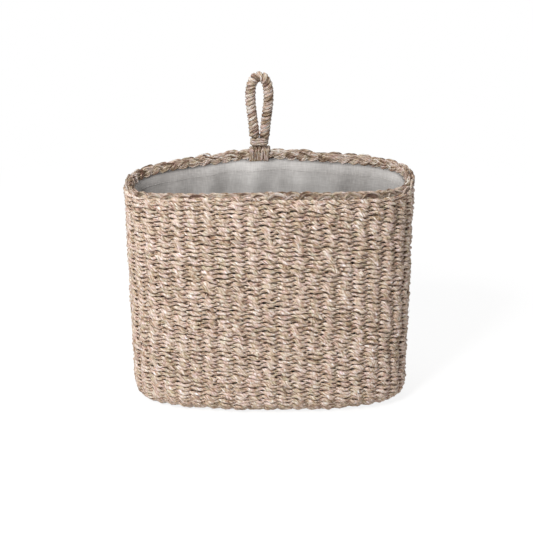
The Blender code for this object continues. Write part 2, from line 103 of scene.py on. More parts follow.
def wall_place(share, height, inset):
    """Points of the wall drawn in by inset, and the outward direction at each."""
    share, height, inset = np.broadcast_arrays(np.asarray(share, float) % 1.0, height, inset)
    half_length = (BASE_LENGTH + (RIM_LENGTH - BASE_LENGTH) * height / END_HEIGHT) / 2
    half_depth = (BASE_DEPTH + (RIM_DEPTH - BASE_DEPTH) * height / END_HEIGHT) / 2
    x = np.interp(share, outline_share, outline_x) * half_length / (RIM_LENGTH / 2)
    y = np.interp(share, outline_share, outline_y) * half_depth / (RIM_DEPTH / 2)
    slope_x = np.sign(x) * np.abs(x / half_length) ** (OUTLINE_POWER - 1) / half_length
    slope_y = np.sign(y) * np.abs(y / half_depth) ** (OUTLINE_POWER - 1) / half_depth
    outward = unit(np.stack([slope_x, slope_y, np.zeros_like(x)], axis=-1))
    leaned = x - RIM_LEAN * height / END_HEIGHT
    return np.stack([leaned, y, height], axis=-1) - outward * inset[..., None], outward


def rim_height(share):
    """Height of the rim: crowned, a little higher at the right end, and drawn up at the loop."""
    share = np.asarray(share, float) % 1.0
    x = np.interp(share, outline_share, outline_x)
    y = np.interp(share, outline_share, outline_y)
    along = x / (RIM_LENGTH / 2)
    across = y / (RIM_DEPTH / 2)
    crown = RIM_CROWN - RIM_DIP * across
    tilt = RIM_TILT + RIM_TWIST * across
    pull = RIM_PULL * np.exp(-(((x - LOOP_OFFSET) / RIM_PULL_REACH) ** 2))
    return END_HEIGHT + crown * (1 - along**2) + tilt * along + np.where(y > 0, pull, 0.0)


def wall_layer(share, run, inset):
    """Points that lie inset below the outer face, run metres up from the base, and their facing."""
    turn = np.clip(math.pi / 2 * (1 - run / FOOT_ARC), 0.0, math.pi / 2)
    below = FOOT_RADIUS - (FOOT_RADIUS - inset) * np.sin(turn)
    height = np.where(run < FOOT_ARC, below, FOOT_RADIUS + run - FOOT_ARC)
    drawn = np.where(run < FOOT_ARC, FOOT_RADIUS - (FOOT_RADIUS - inset) * np.cos(turn), inset)
    point, outward = wall_place(share, height, drawn)
    return point, outward * np.cos(turn)[..., None] - UP * np.sin(turn)[..., None]


def bundle(centres, facing, half_width, half_thick, tone, sides=16, blades=2, groove=0.26, lay=-0.017):
    """One strand of twisted blades: its points, quads, end caps, grain along the blades and tone.

    Lay is the length of one full twist, and its sign gives the twist's direction."""
    count = len(centres)
    along = unit(np.gradient(centres, axis=0))
    across = unit(np.cross(along, facing))
    out = np.cross(across, along)
    run = np.concatenate([[0], np.cumsum(np.linalg.norm(np.diff(centres, axis=0), axis=1))])
    round_angle = np.arange(sides) / sides * 2 * math.pi
    blade_angle = round_angle[None] - 2 * math.pi * run[:, None] / lay
    swell = 1 + groove * np.cos(blades * blade_angle)
    wide = (np.broadcast_to(half_width, count)[:, None] * np.cos(round_angle) * swell)[..., None]
    thick = (np.broadcast_to(half_thick, count)[:, None] * np.sin(round_angle) * swell)[..., None]
    points = centres[:, None] + across[:, None] * wide + out[:, None] * thick
    grain = np.stack([np.repeat(run[:, None], sides, 1), np.cos(blade_angle), np.sin(blade_angle)], -1)
    here = (np.arange(count - 1)[:, None] * sides + np.arange(sides)).ravel()
    beyond = (np.arange(count - 1)[:, None] * sides + (np.arange(sides) + 1) % sides).ravel()
    quads = np.stack([here, beyond, beyond + sides, here + sides], -1)
    caps = np.stack([np.arange(sides)[::-1], (count - 1) * sides + np.arange(sides)])
    tones = np.repeat(np.broadcast_to(tone, count)[:, None], sides, 1)
    return points.reshape(-1, 3), quads, caps, grain.reshape(-1, 3), tones.ravel()


def piece(name, strands, finish, body):
    """One mesh object of several strands, riding on its body if it has one of its own."""
    mesh = bpy.data.meshes.new(name)
    starts = np.cumsum([0] + [len(strand[0]) for strand in strands])
    points = np.concatenate([strand[0] for strand in strands])
    corners = []
    sizes = []
    for start, (_, quads, caps, _, _) in zip(starts, strands):
        for faces in (quads, caps):
            corners.append((faces + start).ravel())
            sizes.append(np.full(len(faces), faces.shape[1]))
    corners = np.concatenate(corners)
    sizes = np.concatenate(sizes)
    mesh.vertices.add(len(points))
    mesh.vertices.foreach_set("co", points.astype(np.float32).ravel())
    mesh.loops.add(len(corners))
    mesh.loops.foreach_set("vertex_index", corners.astype(np.int32))
    mesh.polygons.add(len(sizes))
    mesh.polygons.foreach_set("loop_start", (np.cumsum(sizes) - sizes).astype(np.int32))
    mesh.update(calc_edges=True)
    mesh.validate()
    mesh.shade_smooth()
    grain = mesh.attributes.new("grain", "FLOAT_VECTOR", "POINT")
    grain.data.foreach_set("vector", np.concatenate([s[3] for s in strands]).astype(np.float32).ravel())
    tone = mesh.attributes.new("tone", "FLOAT", "POINT")
    tone.data.foreach_set("value", np.concatenate([s[4] for s in strands]).astype(np.float32))
    made = bpy.data.objects.new(name, mesh)
    bpy.context.scene.collection.objects.link(made)
    mesh.materials.append(finish)
    if body:
        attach(made, body)
    return made


class Wire:
    """A shader socket that sums and products can be written with."""

    def __init__(self, tree, socket=None):
        self.tree = tree
        self.socket = socket

    def add(self, kind, settings, sockets, output=0):
        """A new node: its settings first, then the value or link of each socket."""
        node = self.tree.nodes.new(kind)
        for name, value in settings.items():
            setattr(node, name, value)
        for name, value in sockets.items():
            if isinstance(value, Wire):
                self.tree.links.new(value.socket, node.inputs[name])
            else:
                node.inputs[name].default_value = value
        return Wire(self.tree, node.outputs[output] if node.outputs else None)

    def math(self, operation, first, second):
        return self.add("ShaderNodeMath", {"operation": operation}, {0: first, 1: second})

    def __add__(self, other):
        return self.math("ADD", self, other)

    def __radd__(self, other):
        return self.math("ADD", other, self)

    def __sub__(self, other):
        return self.math("SUBTRACT", self, other)

    def __mul__(self, other):
        return self.math("MULTIPLY", self, other)

    def __pow__(self, other):
        return self.math("POWER", self, other)

    def scaled(self, x, y, z):
        return self.add("ShaderNodeVectorMath", {"operation": "MULTIPLY"}, {0: self, 1: (x, y, z)})

    def noise(self, scale, detail=2.0, roughness=0.5):
        sockets = {"Vector": self, "Scale": scale, "Detail": detail, "Roughness": roughness}
        return self.add("ShaderNodeTexNoise", {}, sockets)

    def ramp(self, *stops):
        """A colour from pairs of position and colour."""
        made = self.add("ShaderNodeValToRGB", {}, {0: self})
        elements = made.socket.node.color_ramp.elements
        for index, (position, colour) in enumerate(stops):
            element = elements[index] if index < 2 else elements.new(position)
            element.position = position
            element.color = colour
        return made

    def mixed(self, blend, share, other):
        """This colour, blended with another by a share."""
        return self.add("ShaderNodeMix", {"data_type": "RGBA", "blend_type": blend},
                        {0: share, 6: self, 7: other}, 2)

    def shaded(self, factor, warmth=0.0):
        """This colour, darkened or lightened by a factor, and the warmer the darker it gets."""
        factors = {0: factor ** (1 - warmth), 1: factor, 2: factor ** (1 + warmth)}
        return self.mixed("MULTIPLY", 1.0, self.add("ShaderNodeCombineColor", {}, factors))


def tint(red, green, blue):
    """A colour written as screen values from 0 to 255, as the linear colour that shaders take."""
    screen = np.array([red, green, blue]) / 255
    linear = np.where(screen <= 0.04045, screen / 12.92, ((screen + 0.055) / 1.055) ** 2.4)
    return (*(float(value) for value in linear), 1.0)


def new_material(name):
    """An empty node material, and a wire to add nodes with."""
    made = bpy.data.materials.new(name)
    made.use_nodes = True
    tree = made.node_tree
    tree.nodes.clear()
    return made, Wire(tree)


def surface(wire, sockets):
    """Ends a material in one Principled surface."""
    shader = wire.add("ShaderNodeBsdfPrincipled", {}, sockets)
    wire.add("ShaderNodeOutputMaterial", {}, {"Surface": shader})


SEAGRASS_COLOURS = (
    (0.05, tint(128, 100, 80)),
    (0.28, tint(190, 162, 140)),
    (0.42, tint(205, 184, 158)),
    (0.56, tint(224, 202, 184)),
    (0.72, tint(232, 204, 188)),
    (0.95, tint(246, 234, 220)),
)
FIBRES_PER_METRE = 230.0
FIBRE_FINENESS = 2.2
FIBRE_CONTRAST = 2.4
FIBRE_WARMTH = 0.36
BLADES_PER_METRE = 100.0
BLADE_FINENESS = 1.4
BLADE_CONTRAST = 1.8
PATCH_SCALE = 170.0
PATCH_CONTRAST = 0.3
HUE_SCALE = 190.0
HUE_SHARE = 0.27


def seagrass(name, shade, streak=1.15):
    """Dry seagrass: blades of uneven straw colours, with fine fibres along them."""
    made, wire = new_material(name)
    grain = wire.add("ShaderNodeAttribute", {"attribute_name": "grain"}, {}, 1)
    tone = wire.add("ShaderNodeAttribute", {"attribute_name": "tone"}, {}, 2)
    place = wire.add("ShaderNodeTexCoord", {}, {}, 3)
    fibre = grain.scaled(FIBRES_PER_METRE, FIBRE_FINENESS, FIBRE_FINENESS).noise(1.0, 3.0, 0.7)
    blade = grain.scaled(BLADES_PER_METRE, BLADE_FINENESS, BLADE_FINENESS).noise(1.0, 1.0)
    patch = place.noise(PATCH_SCALE, 1.0)
    pick = tone + (blade - 0.5) * BLADE_CONTRAST + (patch - 0.5) * PATCH_CONTRAST
    hue = wire.add("ShaderNodeTexNoise", {}, {"Vector": place, "Scale": HUE_SCALE, "Detail": 1.0}, 1)
    colour = pick.ramp(*SEAGRASS_COLOURS).mixed("SOFT_LIGHT", HUE_SHARE, hue)
    colour = colour.shaded(1 + (fibre - 0.5) * (FIBRE_CONTRAST * streak), FIBRE_WARMTH).shaded(shade)
    bump = wire.add("ShaderNodeBump", {}, {"Strength": 0.8, "Distance": 0.0006, "Height": fibre})
    surface(wire, {"Base Color": colour, "Roughness": 0.5 + fibre * 0.2, "Normal": bump,
                   "Specular IOR Level": 0.45})
    return made


stake_straw = seagrass("stake_straw", 0.7)
stake_draw = np.random.default_rng(11)


def stake(name, start, end, tier):
    """One rod: down the wall at one share, across the base, and up the wall at the other."""
    sides = []
    for share in (start, end):
        top = FOOT_ARC + float(rim_height(share)) - BORDER_HEIGHT - FOOT_RADIUS
        run = np.concatenate([np.linspace(top, FOOT_ARC, UPRIGHT_RINGS),
                              np.linspace(FOOT_ARC, 0, FOOT_RINGS)[1:]])
        inset = STAKE_DEPTH + (tier - STAKE_DEPTH) * np.clip(1 - run / FOOT_ARC, 0, 1)
        sides.append(wall_layer(share, run, inset))
    (first, first_out), (last, last_out) = sides
    middle = np.linspace(first[-1], last[-1], LEVEL_RINGS)[1:-1]
    centres = np.concatenate([first, middle, last[::-1]])
    facing = np.concatenate([first_out, np.repeat(-UP[None], len(middle), 0), last_out[::-1]])
    strand = bundle(centres, facing, STAKE_HALF_WIDTH, STAKE_HALF_THICKNESS, stake_draw.random(), sides=10)
    made = piece(name + "_rod", [strand], stake_straw, "basket")
    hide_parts(name)


for index in range(CROSS_STAKES):
    front = (index - CROSS_STAKES // 2) / STAKE_ENDS
    stake(f"stake_cross_{index + 1:02d}", front, 0.5 - front, CROSS_TIER)
for index in range(LONG_STAKES):
    right = 0.25 + (index - (LONG_STAKES - 1) / 2) / STAKE_ENDS
    stake(f"stake_long_{index + 1:02d}", right, 1.0 - right, LONG_TIER)


# Base: 16 rows of two seagrass strands, twined over and under the stakes from end to end.
# The strands cross between each two stakes, which gives a lens of straw on each stake below.

BASE_ROWS = 16
ROW_PITCH = 0.0048
BASE_EDGE_INSET = FOOT_RADIUS - 0.001
BASE_MIDDLE = 0.0054
BASE_SWING = 0.0035
REST_HEIGHT = 0.0002
OUTSIDE_RINGS = 11
INSIDE_RINGS = 4
STITCH_HALF_WIDTH = 0.0023
STITCH_HALF_THICKNESS = 0.0016
CROSSING_HALF_WIDTH = 0.0008
CROSSING_HALF_THICKNESS = 0.0012
CROSSING_RISE = 0.0010
LENS_POWER = 1.4
SWING_POWER = 1.15
SLANT_SHARPNESS = 2.0
UNEVEN_LIMIT = 2
UNEVEN_SLANT = 0.7
UNEVEN_RISE = 0.0004
UNEVEN_WIDTH = 0.15
UNEVEN_SWING = 0.10
UNEVEN_SHIFT = 0.11
STITCH_TONE = 0.55
UNEVEN_TONE = 0.08
INSIDE_PAINTED_SHADE = 0.12
CROSSING_PAINTED_SHADE = 0.06


def stitch_places(first, last):
    """Places along a strand in stake numbers: many where it lies outside, few where it is inside."""
    outside = np.linspace(-0.5, 0.5, OUTSIDE_RINGS, endpoint=False)
    inside = np.linspace(0.5, 1.5, INSIDE_RINGS, endpoint=False)
    one = np.concatenate([outside, inside])
    pairs = np.arange(math.floor(first / 2) - 1, math.ceil(last / 2) + 2)
    stakes = (pairs[:, None] * 2 + one[None]).ravel()
    return stakes[(stakes >= first) & (stakes <= last)]


def stitched(stakes, turn, draw):
    """Shape of a twined strand at each place: swing, rise, half width and thickness, shift, and tone,
    darker inside and at crossings as painted shade.
    """
    phase = math.pi * (stakes + turn)
    cos = np.cos(phase)
    number = np.round((stakes + turn) / 2).astype(int)
    number -= number.min()
    uneven = np.clip(draw.normal(0.0, 1.0, (6, number.max() + 1)), -UNEVEN_LIMIT, UNEVEN_LIMIT)[:, number]
    near = np.sqrt(np.clip(cos, 0, 1))
    slant = np.tanh(SLANT_SHARPNESS * np.sin(phase)) / math.tanh(SLANT_SHARPNESS)
    rise = -CROSSING_RISE * slant * (1 + UNEVEN_SLANT * uneven[0] * near)
    rise = rise + UNEVEN_RISE * uneven[1] * near
    level = np.abs(cos) ** LENS_POWER
    half_width = CROSSING_HALF_WIDTH + (STITCH_HALF_WIDTH - CROSSING_HALF_WIDTH) * level
    half_width = half_width * (1 + UNEVEN_WIDTH * uneven[2] * near)
    half_thick = CROSSING_HALF_THICKNESS + (STITCH_HALF_THICKNESS - CROSSING_HALF_THICKNESS) * level
    swing = 2 * ((1 + cos) / 2) ** SWING_POWER - 1 + UNEVEN_SWING * uneven[3] * near
    shift = UNEVEN_SHIFT * uneven[4] * near
    tone = STITCH_TONE + UNEVEN_TONE * uneven[5]
    # Painted shade: the tone drops where the strand passes inside the stakes and where it narrows at a
    # crossing, to darken the slots between rows.
    tone = tone - INSIDE_PAINTED_SHADE * np.clip(-cos, 0, 1) - CROSSING_PAINTED_SHADE * (1 - level)
    return swing, rise, half_width, half_thick, shift, tone


def rested(strand):
    """The strand, pressed flat where the basket stands on it."""
    strand[0][:, 2] = np.maximum(strand[0][:, 2], REST_HEIGHT)
    return strand


def base_weave():
    """Rows from one side of the base to the other, each from end to end."""
    draw = np.random.default_rng(21)
    stake_numbers = np.arange(CROSS_STAKES) - CROSS_STAKES // 2
    stake_x = wall_place(stake_numbers / STAKE_ENDS, 0.0, 0.0)[0][:, 0]
    steps_x = np.concatenate([[2 * stake_x[0] - stake_x[1]], stake_x, [2 * stake_x[-1] - stake_x[-2]]])
    steps = np.arange(len(steps_x)) - len(steps_x) // 2
    edge = wall_place(np.linspace(0, 1, 721), 0.0, BASE_EDGE_INSET)[0]
    right = edge[edge[:, 0] > 0]
    right = right[np.argsort(right[:, 1])]
    strands = []
    for row in range(BASE_ROWS):
        y = (row - (BASE_ROWS - 1) / 2) * ROW_PITCH
        end = np.interp(y, right[:, 1], right[:, 0])
        last = np.interp(end, steps_x, steps)
        for turn in (0, 1):
            stakes = stitch_places(-last, last)
            swing, rise, half_width, half_thick, shift, tone = stitched(stakes, turn, draw)
            x = np.interp(stakes + shift, steps, steps_x)
            centres = np.stack([x, y + rise, BASE_MIDDLE - BASE_SWING * swing], -1)
            facing = np.repeat(-UP[None], len(x), 0)
            strands.append(rested(bundle(centres, facing, half_width, half_thick, tone)))
    return strands


straw = seagrass("straw", 1.0, 1.5)
made = piece("base_weave", base_weave(), straw, "basket")
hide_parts("base_weave_under", "base_weave_upper")


# Wall: two strands twined round and round in one long spiral, 55 rows from the base to the rim.
# At each stake one strand passes outside and the other inside, and they cross in between.

WALL_ROWS = 55
FIRST_ROW = 0.0010
ROWS_ABOVE = 0.0058
WALL_PIECES = 8
OUTER_DEPTH = 0.0009
INNER_DEPTH = 0.0058
TOP_DRAW = 0.0022
TOP_DRAW_ROWS = 3.0
TOP_DRAW_EASE = 1.5
FOOT_DRAW = 0.0034
CALM_ROWS = 3
ROW_WAVER = 0.0004
STITCH_WANDER = 0.07
DEPTH_WAVER = 0.0003
PASSAGE_DROP = 0.0021
PASSAGE_HALF = 0.0127
PASSAGE_EASE = 0.006


def wall_top(share):
    """Top of the woven wall, a little lower where the lashing of the loop passes through."""
    x = np.interp(np.asarray(share, float) % 1.0, outline_share, outline_x)
    y = np.interp(np.asarray(share, float) % 1.0, outline_share, outline_y)
    beside = np.clip((np.abs(x - LOOP_OFFSET) - PASSAGE_HALF) / PASSAGE_EASE, 0, 1)
    drop = np.where(y > 0, PASSAGE_DROP * (1 - beside**2 * (3 - 2 * beside)), 0.0)
    return rim_height(share) - BORDER_HEIGHT - drop


def unevenness(share, row, draw, waves=14):
    """A slow waver of the rows, much the same for rows that lie beside each other."""
    total = np.zeros_like(share)
    for _ in range(waves):
        turns = draw.integers(1, 15)
        climb = draw.uniform(0.02, 0.16)
        total += np.sin(2 * math.pi * (turns * share + climb * row + draw.random()))
    return total / math.sqrt(waves / 2)


def wall_weave():
    """The spiral of each strand, cut into bands of rows."""
    bands = [[] for _ in range(WALL_PIECES)]
    cuts = np.linspace(0, WALL_ROWS * STAKE_ENDS, WALL_PIECES + 1)
    for turn in (0, 1):
        draw = np.random.default_rng(31 + turn)
        stakes = stitch_places(0, WALL_ROWS * STAKE_ENDS)
        swing, rise, half_width, half_thick, shift, tone = stitched(stakes, turn, draw)
        row = stakes / STAKE_ENDS
        calm = np.clip(np.minimum(row, WALL_ROWS - row) / CALM_ROWS, 0, 1)
        wander = STITCH_WANDER * unevenness(row, row, np.random.default_rng(42))
        share = row + (shift + wander) / STAKE_ENDS
        top = FOOT_ARC + wall_top(share) + ROWS_ABOVE - FOOT_RADIUS
        run = FIRST_ROW + (top - FIRST_ROW) * row / WALL_ROWS
        run = run + ROW_WAVER * calm * unevenness(row, row, np.random.default_rng(41)) + rise
        inner = INNER_DEPTH - TOP_DRAW * np.clip((row - WALL_ROWS + TOP_DRAW_ROWS) / TOP_DRAW_EASE, 0, 1)
        inner = inner - FOOT_DRAW * np.clip(1 - run / FOOT_ARC, 0, 1)
        depth = (inner + OUTER_DEPTH) / 2 - (inner - OUTER_DEPTH) / 2 * swing
        depth = depth + DEPTH_WAVER * unevenness(row, row, np.random.default_rng(43))
        centres, facing = wall_layer(share, run, depth)
        for band, (low, high) in enumerate(zip(cuts[:-1], cuts[1:])):
            inside = np.flatnonzero((stakes >= low) & (stakes <= high))
            span = slice(inside[0], min(inside[-1] + 2, len(stakes)))
            strand = bundle(centres[span], facing[span], half_width[span], half_thick[span], tone[span])
            bands[band].append(rested(strand))
    return bands


for index, strands in enumerate(wall_weave()):
    made = piece(f"wall_weave_{index + 1:02d}", strands, straw, "basket")
    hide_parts("wall_weave_outer", "wall_weave_inner")


# Border: each stake's end, split into five strands, is bent over to the right into an arch on the
# rim's outer edge, passes in front of the next stake and is tucked down behind the wall's top row.
# Three hoops of cord lie inside the arches and fill them.

FOLD_PATH = (
    (-0.22, 0.0040, 0.0090),
    (-0.10, 0.0014, 0.0064),
    (0.00, 0.0006, 0.0038),
    (0.18, 0.0010, 0.0014),
    (0.48, 0.0018, 0.0007),
    (0.80, 0.0016, 0.0016),
    (1.08, 0.0012, 0.0036),
    (1.26, 0.0024, 0.0056),
    (1.40, 0.0046, 0.0080),
)
FOLD_STRANDS = 5
FOLD_RINGS = 26
FOLD_HALF_WIDTH = 0.0008
FOLD_HALF_THICKNESS = 0.0009
FOLD_STEP = (0.03, 0.0003, 0.0009)
UNEVEN_FOLD = (0.12, 0.0004, 0.0006)
UNEVEN_FOLD_STRAND = (0.09, 0.0003, 0.0005)
DRAW_LIMIT = 1.5
HOOPS = ((0.0030, 0.0055), (0.0046, 0.0030), (0.0048, 0.0070))
HOOP_HALF_WIDTH = 0.0018
HOOP_HALF_THICKNESS = 0.0012
HOOP_RINGS = 721


def smooth_path(places, count):
    """A curve through the given places (Catmull and Rom's), as evenly counted points."""
    places = np.asarray(places, float)
    padded = np.concatenate([2 * places[:1] - places[1:2], places, 2 * places[-1:] - places[-2:-1]])
    at = np.linspace(0, len(places) - 1, count)
    index = np.minimum(at.astype(int), len(places) - 2)
    t = (at - index)[:, None]
    a, b, c, d = (padded[index + step] for step in range(4))
    return 0.5 * (2 * b + (c - a) * t + (2 * a - 5 * b + 4 * c - d) * t**2 + (3 * b - a - 3 * c + d) * t**3)


def border_folds():
    """The arches, from a path of stake pitches along, inset and drop below the rim, and the hoops."""
    draw = np.random.default_rng(51)
    strands = []
    for number in range(STAKE_ENDS):
        lean = np.clip(draw.normal(size=3), -DRAW_LIMIT, DRAW_LIMIT) * UNEVEN_FOLD
        for layer in range(FOLD_STRANDS):
            uneven = np.clip(draw.normal(size=3), -DRAW_LIMIT, DRAW_LIMIT) * UNEVEN_FOLD_STRAND
            lift = np.sin(np.linspace(0, math.pi, FOLD_RINGS))[:, None]
            path = smooth_path(FOLD_PATH, FOLD_RINGS) + (lean + uneven) * lift
            share = (number + path[:, 0] + FOLD_STEP[0] * layer) / STAKE_ENDS
            inset = path[:, 1] + FOLD_STEP[1] * layer
            drop = path[:, 2] + FOLD_STEP[2] * layer * lift[:, 0]
            centres, outward = wall_place(share, rim_height(share) - drop, inset)
            facing = unit(outward + 0.5 * UP)
            half_width = FOLD_HALF_WIDTH * (0.75 + 0.35 * lift[:, 0]) * draw.uniform(0.8, 1.2)
            tone = 0.48 + 0.34 * draw.normal()
            strands.append(bundle(centres, facing, half_width, FOLD_HALF_THICKNESS, tone, sides=10))
    share = np.linspace(0, 1, HOOP_RINGS)
    for inset, drop in HOOPS:
        centres, outward = wall_place(share, rim_height(share) - drop, inset)
        strands.append(bundle(centres, outward, HOOP_HALF_WIDTH, HOOP_HALF_THICKNESS, 0.4))
    return strands


border_straw = seagrass("border_straw", 0.73, 1.4)
made = piece("border_arches", border_folds(), border_straw, "basket")
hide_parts("border_fold_row")


# Inner band: a flat plait of three straws, each of three thin strands side by side.
# It is sewn along the inside of the rim, over the liner's edge.

PLAIT_LENGTH = 0.0340
PLAIT_DEPTH = 0.0072
PLAIT_DROP = 0.0052
PLAIT_SWING = 0.0023
PLAIT_SWING_CHANGE = 0.0003
PLAIT_OVER = 0.0010
PLAIT_LEAN = 0.35
PLAIT_STRANDS = (-0.0016, 0.0, 0.0016)
PLAIT_HALF_WIDTH = 0.0009
PLAIT_HALF_THICKNESS = 0.0010
RINGS_PER_LENGTH = 26


def plait():
    """Three straws that swing up and down a third of a length apart, and pass over each other."""
    lengths = round(rim_run / PLAIT_LENGTH)
    share = np.arange(lengths * RINGS_PER_LENGTH + 3) / (lengths * RINGS_PER_LENGTH)
    strands = []
    for number in range(3):
        draw = np.random.default_rng(61 + number)
        phase = 2 * math.pi * (share * lengths + number / 3)
        across = PLAIT_SWING + PLAIT_SWING_CHANGE * np.sin(0.43 * phase)
        across = across * np.sin(phase + 0.4 * np.sin(0.61 * phase))
        over = -PLAIT_OVER * np.sin(2 * phase)
        for beside in PLAIT_STRANDS:
            inset = PLAIT_DEPTH - over + PLAIT_LEAN * (across + beside)
            height = rim_height(share) - PLAIT_DROP - across - beside
            centres, outward = wall_place(share, height, inset)
            facing = unit(-outward + PLAIT_LEAN * UP)
            knots = draw.normal(0.40, 0.30, 2 * lengths + 2)
            tone = knots[(share * lengths * 2).astype(int)]
            half_width = PLAIT_HALF_WIDTH * (1 + 0.2 * np.sin(phase * 0.37 + number))
            strands.append(bundle(centres, facing, half_width, PLAIT_HALF_THICKNESS, tone,
                                  sides=12, groove=0.22, lay=0.014))
    return strands


made = piece("border_plait", plait(), border_straw, "basket")
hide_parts("border_braid")


# Liner: a linen bag of a side piece and a bottom piece. The side hangs from the rim, where its
# edge is turned in and stitched down as a hem, and it falls in a few soft upright folds.

LINER_DEPTH = 0.0079
LINER_RISE = 0.0026
LINER_FOOT_EASE = 0.0026
LINER_COLUMNS = 12 * STAKE_ENDS
LINER_ROWS = 72
LINEN = 0.0007
HEM_HEIGHT = 0.0132
HEM_SLACK = 0.0006
HEM_EDGE = 0.0008
HEM_AND_SHADE_FADE_BELOW = 0.0060
HEM_AND_SHADE_FADE_LENGTH = 0.0130
FOLDS = (
    (0.452, 0.018, 0.0090),
    (0.484, 0.006, 0.0020),
    (0.524, 0.020, 0.0100),
    (0.552, 0.008, 0.0026),
    (0.590, 0.018, 0.0084),
    (0.40, 0.015, 0.0060),
    (0.36, 0.012, 0.0044),
    (0.640, 0.016, 0.0060),
)
FOLD_DRIFT = 0.012
RIPPLES = 16
RIPPLE_HEIGHT = 0.0003
HEM_HOLD = 0.09
FOOT_HOLD = 0.15


def linen_material():
    """Grey linen: fine threads both ways with slubs, lighter at the doubled hem and darker below it as
    painted shade.
    """
    made, wire = new_material("linen")
    grain = wire.add("ShaderNodeAttribute", {"attribute_name": "grain"}, {}, 1)
    place = wire.add("ShaderNodeTexCoord", {}, {}, 3)
    warp = grain.scaled(900.0, 110.0, 0.0).noise(1.0)
    weft = grain.scaled(110.0, 900.0, 0.0).noise(1.0)
    slub = grain.scaled(520.0, 60.0, 0.0).noise(1.0)
    cloud = place.noise(16.0)
    weave = (warp + weft) * 0.5
    hem_and_painted_shade = wire.add("ShaderNodeSeparateXYZ", {}, {"Vector": grain}, 2)
    thread = weave * 0.9 + slub * 0.16 + cloud * 1.5 - 0.78
    colour = thread.ramp((0.2, tint(166, 162, 159)), (0.8, tint(216, 213, 210)))
    # Lighter at the hem, which doubles the cloth, and darker below it as painted shade deeper in the
    # basket.
    colour = colour.shaded(hem_and_painted_shade * 0.32 + 0.85)
    bump = wire.add("ShaderNodeBump", {}, {"Strength": 0.5, "Distance": 0.0003, "Height": weave})
    surface(wire, {"Base Color": colour, "Roughness": 0.85, "Normal": bump,
                   "Sheen Weight": 0.15, "Specular IOR Level": 0.2})
    return made


linen = linen_material()


def cloth(name, outside, inside, grain, filled):
    """A thin sheet between two grids of points, its first row filled or an edge."""
    rows, columns = outside.shape[:2]
    count = rows * columns
    points = np.concatenate([outside.reshape(-1, 3), inside.reshape(-1, 3)])
    index = np.arange(count).reshape(rows, columns)
    after = (np.arange(columns) + 1) % columns
    faces = [np.stack([index[:-1], index[:-1, after], index[1:, after], index[1:]], -1).reshape(-1, 4)]
    faces.append(faces[0][:, ::-1] + count)
    edges = [(rows - 1, 1)] if filled else [(0, -1), (rows - 1, 1)]
    for row, flip in edges:
        edge = np.stack([index[row], index[row, after]], -1)
        rim = np.concatenate([edge, edge[:, ::-1] + count], -1)
        faces.append(rim[:, ::-flip])
    faces = np.concatenate(faces).tolist()
    if filled:
        faces += [index[0, ::-1].tolist(), (index[0] + count).tolist()]
    mesh = bpy.data.meshes.new(name)
    mesh.from_pydata(points.tolist(), [], faces)
    mesh.validate()
    mesh.shade_smooth()
    both = np.concatenate([grain.reshape(-1, 3)] * 2)
    made_grain = mesh.attributes.new("grain", "FLOAT_VECTOR", "POINT")
    made_grain.data.foreach_set("vector", both.astype(np.float32).ravel())
    made = bpy.data.objects.new(name, mesh)
    bpy.context.scene.collection.objects.link(made)
    return made


def liner_folds(share, rise):
    """How far the cloth stands in from the wall: upright folds that fade at the hem and the foot."""
    draw = np.random.default_rng(71)
    stand = np.zeros_like(share)
    for centre, reach, height in FOLDS:
        drift = centre + FOLD_DRIFT * (rise - 0.8) * draw.uniform(-1, 1)
        stand += height * np.exp(-(((share - drift) / reach) ** 2))
    for _ in range(RIPPLES):
        turns = draw.integers(5, 26)
        slant = draw.uniform(-1.2, 1.2)
        stand += RIPPLE_HEIGHT * (1 + np.sin(2 * math.pi * (turns * share + slant * rise + draw.random())))
    fade = np.clip((1 - rise) / HEM_HOLD, 0, 1) * np.clip(rise / FOOT_HOLD, 0, 1)
    return stand * fade * (0.55 + 0.45 * np.sin(math.pi * np.clip(rise, 0, 1)))


def liner_top(share):
    """How far the liner's upper edge lies up the wall from the base."""
    return FOOT_ARC + wall_top(share) - FOOT_RADIUS + LINER_RISE


def liner_side():
    """The side piece, from its hemmed upper edge down the wall and round the foot."""
    share = (np.arange(LINER_COLUMNS) / LINER_COLUMNS)[None]
    rise = np.linspace(1, 0, LINER_ROWS)[:, None]
    share, rise = np.broadcast_arrays(share, rise)
    top = liner_top(share)
    run = top * rise
    eased = np.clip(1 - run / FOOT_ARC, 0, 1) * LINER_FOOT_EASE
    depth = LINER_DEPTH + eased + liner_folds(share, rise)
    below = top - run
    hem = np.clip((HEM_HEIGHT + HEM_SLACK - below) / HEM_EDGE, 0, 1) * LINEN
    # Partly the doubled hem, partly painted shade: the cloth darkens from within the hem to 6 mm below its
    # edge.
    hem_and_painted_shade = np.clip((HEM_HEIGHT + HEM_AND_SHADE_FADE_BELOW - below) / HEM_AND_SHADE_FADE_LENGTH, 0, 1)
    outside = wall_layer(share, run, depth)[0]
    inside = wall_layer(share, run, depth + LINEN + hem)[0]
    return cloth("liner_side_cloth", outside, inside, np.stack([share * rim_run, run, hem_and_painted_shade], -1), False)


STITCH_SPACING = 0.0036
STITCH_RINGS = 6
STITCH_SPAN = (0.12, 0.80)
STITCH_ABOVE_EDGE = 0.0015
STITCH_SINK = 0.0001
STITCH_BOW = 0.0002
THREAD_HALF_WIDTH = 0.00022
THREAD_HALF_THICKNESS = 0.00018


